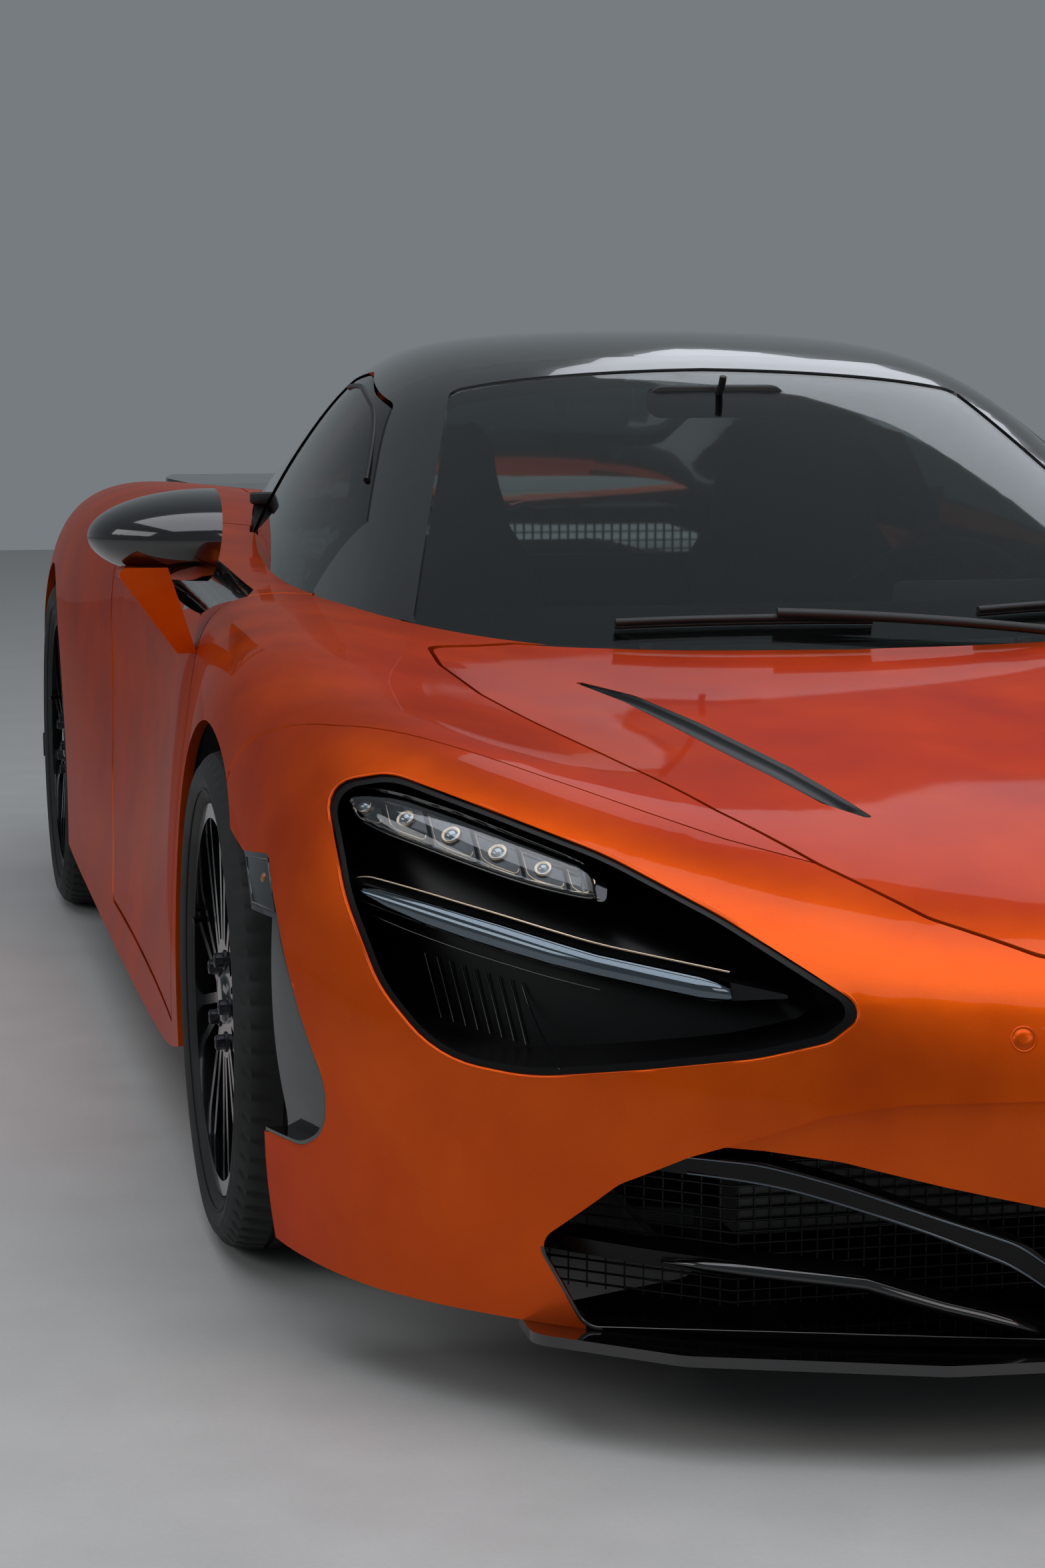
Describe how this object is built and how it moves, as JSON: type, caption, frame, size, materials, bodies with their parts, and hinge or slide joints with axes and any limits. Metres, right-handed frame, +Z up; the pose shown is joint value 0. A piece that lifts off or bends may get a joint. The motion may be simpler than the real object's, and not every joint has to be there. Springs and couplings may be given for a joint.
{
  "type": "mid-engined supercar",
  "caption": "Low two-seat mid-engined supercar with upward-swinging doors, lifting bonnet, steered front wheels and a black canopy.",
  "frame": {"origin": "on the ground plane, under the middle of the car's overall box", "axes": "-Y is forwards, +X is the car's left, +Z is up"},
  "size_m": [2.068, 4.5382, 1.2051],
  "materials": {
    "body_paint": "burnt orange metallic under clear coat",
    "cabin_leather": "dark grained leather",
    "cast_alloy": "as-cast alloy",
    "dark_alloy": "dark painted cast alloy",
    "disc_iron": "ground brake iron",
    "exhaust_metal": "heat-tinted steel",
    "gloss_black": "gloss black",
    "lamp_bright": "bright lamp blade",
    "lamp_red": "red lamp lens",
    "satin_black": "satin black moulding",
    "tinted_glass": "lightly tinted",
    "tyre": "black rubber"
  },
  "bodies": {
    "chassis": {"arch_liners": "satin_black", "corner_vents": "gloss_black", "cowl": "satin_black", "dashboard": "satin_black", "diffuser": "satin_black", "engine_block": "cast_alloy", "engine_deck": "body_paint", "exhaust_tips": "exhaust_metal", "front_bumper": "body_paint", "headlamp_blades": "lamp_bright", "headlamp_bowls": "gloss_black", "intake_ducts": "satin_black", "lamp_units": "lamp_bright", "quarters": "body_paint", "rear_canopy": "gloss_black", "rear_fascia": "gloss_black", "rear_glass": "tinted_glass", "rear_uprights": "cast_alloy", "rear_wing": "gloss_black", "roof_panel": "gloss_black", "screen_surround": "gloss_black", "seats": "cabin_leather", "sill_panels": "body_paint", "splitter": "satin_black", "suspension_arms": "cast_alloy", "tail_lamps": "lamp_red", "tub": "satin_black", "windscreen": "tinted_glass", "wings": "body_paint"},
    "bonnet_lid": {"bonnet": "body_paint"},
    "left_door": {"door_left": "body_paint", "door_glass_left": "tinted_glass", "mirror_left": "gloss_black"},
    "right_door": {"door_right": "body_paint", "door_glass_right": "tinted_glass", "mirror_right": "gloss_black"},
    "left_knuckle": {"knuckle_left": "cast_alloy"},
    "right_knuckle": {"knuckle_right": "cast_alloy"},
    "steering": {"steering_wheel": "cabin_leather"},
    "wheel_front_left": {"tyre_front_left": "tyre", "rim_front_left": "dark_alloy", "disc_front_left": "disc_iron"},
    "wheel_front_right": {"tyre_front_right": "tyre", "rim_front_right": "dark_alloy", "disc_front_right": "disc_iron"},
    "wheel_rear_left": {"tyre_rear_left": "tyre", "rim_rear_left": "dark_alloy", "disc_rear_left": "disc_iron"},
    "wheel_rear_right": {"tyre_rear_right": "tyre", "rim_rear_right": "dark_alloy", "disc_rear_right": "disc_iron"}
  },
  "joints": [
    {"name": "bonnet_hinge", "type": "hinge", "parent": "chassis", "child": "bonnet_lid", "pos_m": [0, -0.9, 0.745], "axis": [-1, 0, 0], "range_deg": [0, 50]},
    {"name": "left_door_swing", "type": "hinge", "parent": "chassis", "child": "left_door", "pos_m": [0.89, -0.7905, 0.33], "axis": [0.27, -0.2, -0.9419], "range_deg": [0, 75]},
    {"name": "right_door_swing", "type": "hinge", "parent": "chassis", "child": "right_door", "pos_m": [-0.89, -0.7905, 0.33], "axis": [0.27, 0.2, 0.9419], "range_deg": [0, 75]},
    {"name": "left_steer", "type": "hinge", "parent": "chassis", "child": "left_knuckle", "pos_m": [0.765, -1.1865, 0.327], "axis": [0, 0, 1], "range_deg": [-30, 30]},
    {"name": "right_steer", "type": "hinge", "parent": "chassis", "child": "right_knuckle", "pos_m": [-0.765, -1.1865, 0.327], "axis": [0, 0, 1], "range_deg": [-30, 30]},
    {"name": "steering_wheel_turn", "type": "hinge", "parent": "chassis", "child": "steering", "pos_m": [0.35, -0.33, 0.69], "axis": [0, 0.9061, 0.423], "range_deg": [-390, 390]},
    {"name": "front_left_spin", "type": "hinge", "parent": "left_knuckle", "child": "wheel_front_left", "pos_m": [0.83, -1.1865, 0.327], "axis": [1, 0, 0], "continuous": true},
    {"name": "front_right_spin", "type": "hinge", "parent": "right_knuckle", "child": "wheel_front_right", "pos_m": [-0.83, -1.1865, 0.327], "axis": [1, 0, 0], "continuous": true},
    {"name": "rear_left_spin", "type": "hinge", "parent": "chassis", "child": "wheel_rear_left", "pos_m": [0.808, 1.4835, 0.345], "axis": [1, 0, 0], "continuous": true},
    {"name": "rear_right_spin", "type": "hinge", "parent": "chassis", "child": "wheel_rear_right", "pos_m": [-0.808, 1.4835, 0.345], "axis": [1, 0, 0], "continuous": true}
  ],
  "couplings": [
    {"joint": "right_steer", "follows": "left_steer", "ratio": 1},
    {"joint": "steering_wheel_turn", "follows": "left_steer", "ratio": 13}
  ]
}
